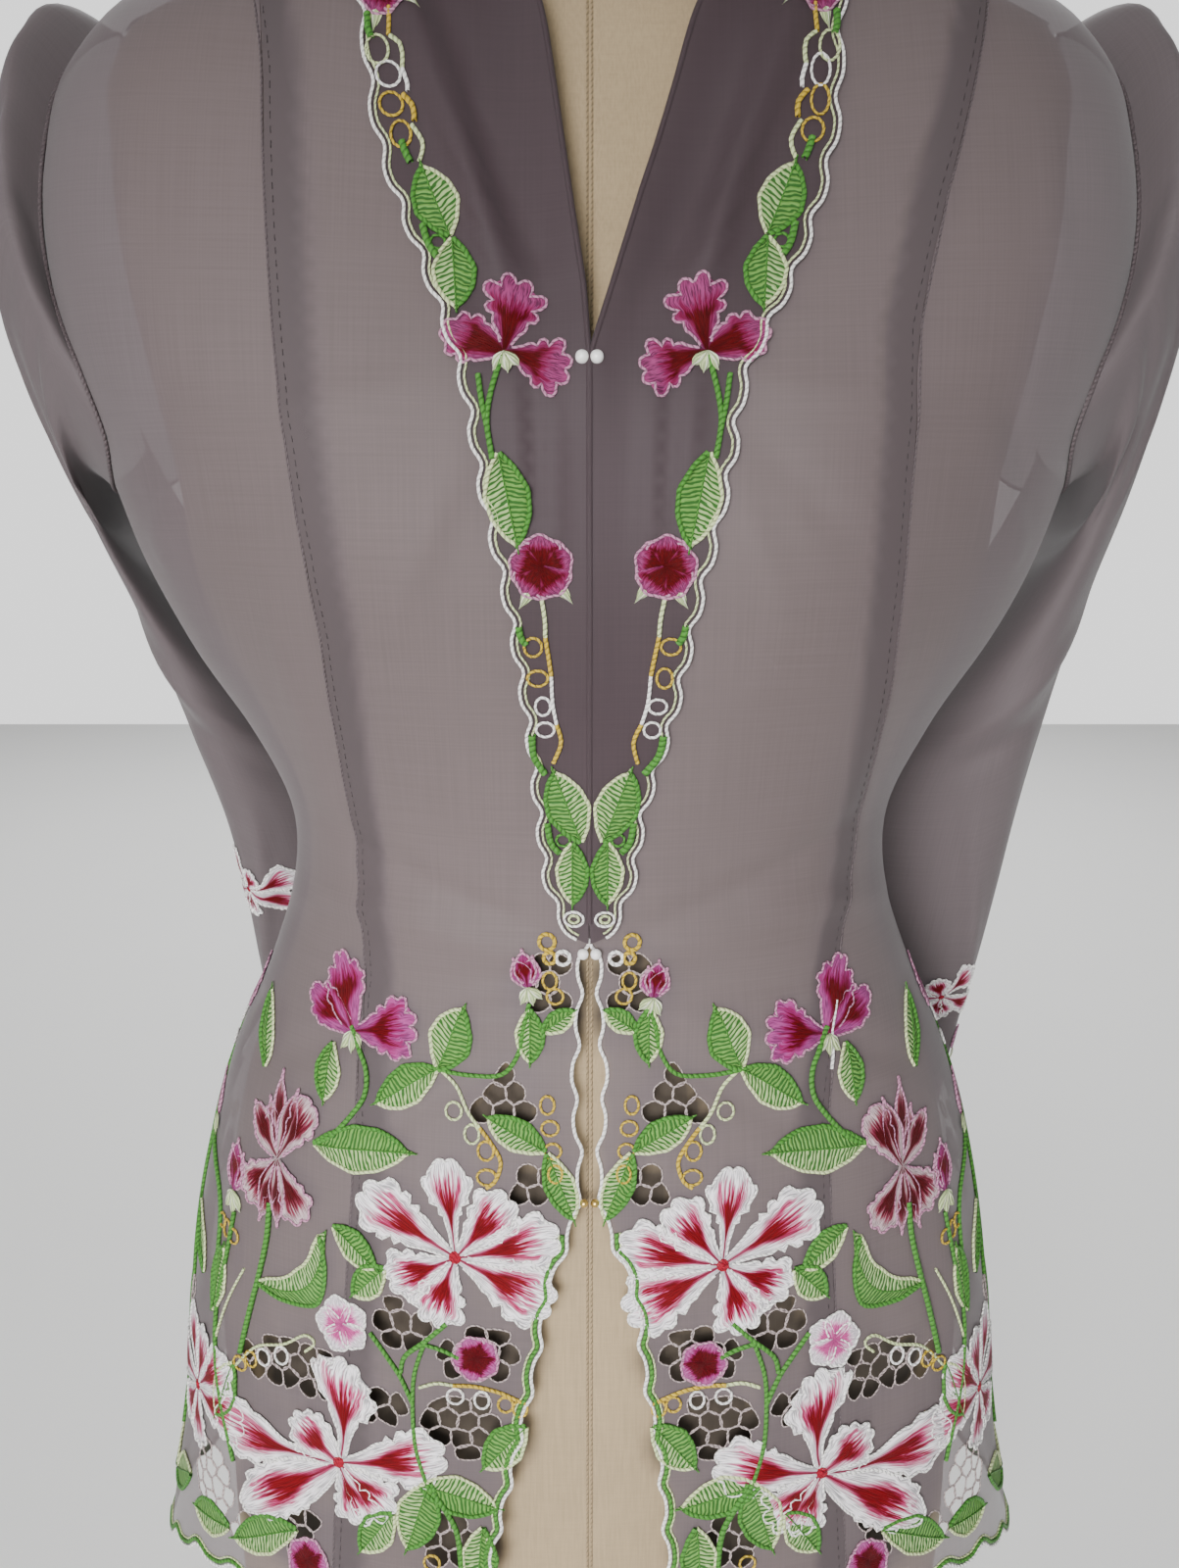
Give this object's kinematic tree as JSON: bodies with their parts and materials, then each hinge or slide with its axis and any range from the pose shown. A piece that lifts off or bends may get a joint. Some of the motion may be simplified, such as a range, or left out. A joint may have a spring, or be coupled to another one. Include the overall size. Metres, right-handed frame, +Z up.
{
  "type": "kebaya blouse on a limbless dress form",
  "caption": "Sheer long-sleeved kebaya blouse with shawl lapels, princess seams, cutwork hem and pearl fastenings, resting on a limbless linen dress form with a plain foot.",
  "frame": {"origin": "centre of the underside of the dress form's foot", "axes": "+Z up along the form; the blouse faces -Y; +X is to the right of someone looking at its front"},
  "size_m": [0.4741, 0.3013, 0.8726],
  "materials": {
    "cloth": "sheer matt woven voile with a soft sheen",
    "lapel": "the same voile, double, darker and slightly glossy",
    "sleeve": "sheer matt woven voile with nothing behind it",
    "pearl": "pearl lustre",
    "gold": "polished",
    "linen": "plain woven linen",
    "wood": "satin varnish"
  },
  "bodies": {
    "root": {"front_left": "cloth", "front_right": "cloth", "side_front_left": "cloth", "side_front_right": "cloth", "back": "cloth", "lapel_left": "lapel", "lapel_right": "lapel", "sleeve_upper_left": "sleeve", "sleeve_upper_right": "sleeve", "sleeve_lower_left": "sleeve", "sleeve_lower_right": "sleeve", "pearl_upper_left": "pearl", "pearl_upper_right": "pearl", "pearl_lower_left": "pearl", "pearl_lower_right": "pearl", "gold_bead_left": "gold", "gold_bead_right": "gold", "dress_form": "linen", "neck_cap": "wood", "form_base": "wood"}
  },
  "joints": []
}
